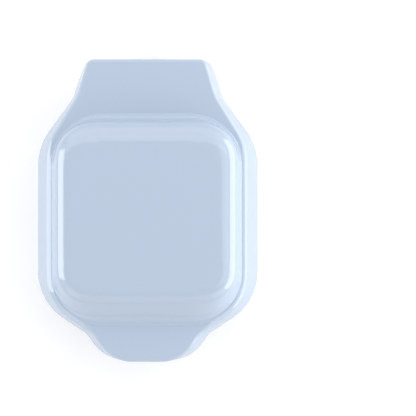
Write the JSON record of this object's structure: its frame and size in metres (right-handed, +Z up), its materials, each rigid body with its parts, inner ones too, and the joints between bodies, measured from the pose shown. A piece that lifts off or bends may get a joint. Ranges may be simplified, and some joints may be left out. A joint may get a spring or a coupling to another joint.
{
  "type": "mini waffle maker",
  "caption": "Small countertop waffle maker with a hinged domed lid, a handle tab, non-stick plates with raised snowflakes, heating elements and a cord gland.",
  "frame": {"origin": "on the table, under the middle of the closed waffle maker", "axes": "+X to the right seen from the handle, +Y from the handle to the hinge, +Z up"},
  "size_m": [0.1316, 0.179, 0.072],
  "materials": {
    "housing": "glossy moulded plastic, pale powder blue",
    "cover": "matt moulded plastic, pale blue",
    "coating": "dark satin non-stick coating on cast aluminium",
    "sheath": "heat-tinted steel sheath",
    "ceramic": "off-white ceramic",
    "sheet_steel": "plain sheet steel",
    "shield": "aluminised sheet steel",
    "screw_steel": "zinc-plated steel",
    "brass": "plain brass",
    "dark_plastic": "dark heat-resistant plastic",
    "nylon": "natural nylon",
    "lens": "clear amber plastic",
    "lamp": "small glow lamp",
    "insulation": "woven heat-resistant sleeve",
    "rubber": "grey rubber"
  },
  "bodies": {
    "base": {"base_housing": "housing", "bottom_cover": "cover", "lower_plate": "coating", "lower_element": "sheath", "lower_element_pins": "sheath", "lower_element_bushings": "ceramic", "lower_element_clamp": "sheet_steel", "thermostat_bracket": "sheet_steel", "fuse_clip": "sheet_steel", "lower_heat_shield": "shield", "lower_plate_screws": "screw_steel", "lower_clamp_screw": "screw_steel", "thermostat_screws": "screw_steel", "bottom_cover_screws": "screw_steel", "terminal_screws": "brass", "thermostat": "dark_plastic", "terminal_block": "dark_plastic", "cord_gland": "dark_plastic", "gland_nut": "dark_plastic", "thermal_fuse": "nylon", "indicator_lens": "lens", "indicator_lamp": "lamp", "supply_lead": "insulation", "return_lead": "insulation", "link_leads": "insulation", "lamp_lead": "insulation", "foot_pads": "rubber"},
    "lid": {"lid_housing": "housing", "lid_frame": "housing", "lid_frame_screws": "screw_steel", "upper_plate": "coating", "upper_element": "sheath", "upper_element_pins": "sheath", "upper_element_bushings": "ceramic", "upper_element_clamp": "sheet_steel", "upper_clamp_screw": "screw_steel", "upper_heat_shield": "shield", "upper_plate_screws": "screw_steel", "hinge_pin": "screw_steel", "pin_clips": "screw_steel", "hinge_washers": "nylon"}
  },
  "joints": [
    {"name": "lid_hinge", "type": "hinge", "parent": "base", "child": "lid", "pos_m": [0, 0.0794, 0.044], "axis": [-1, 0, 0], "range_deg": [0, 100]}
  ]
}
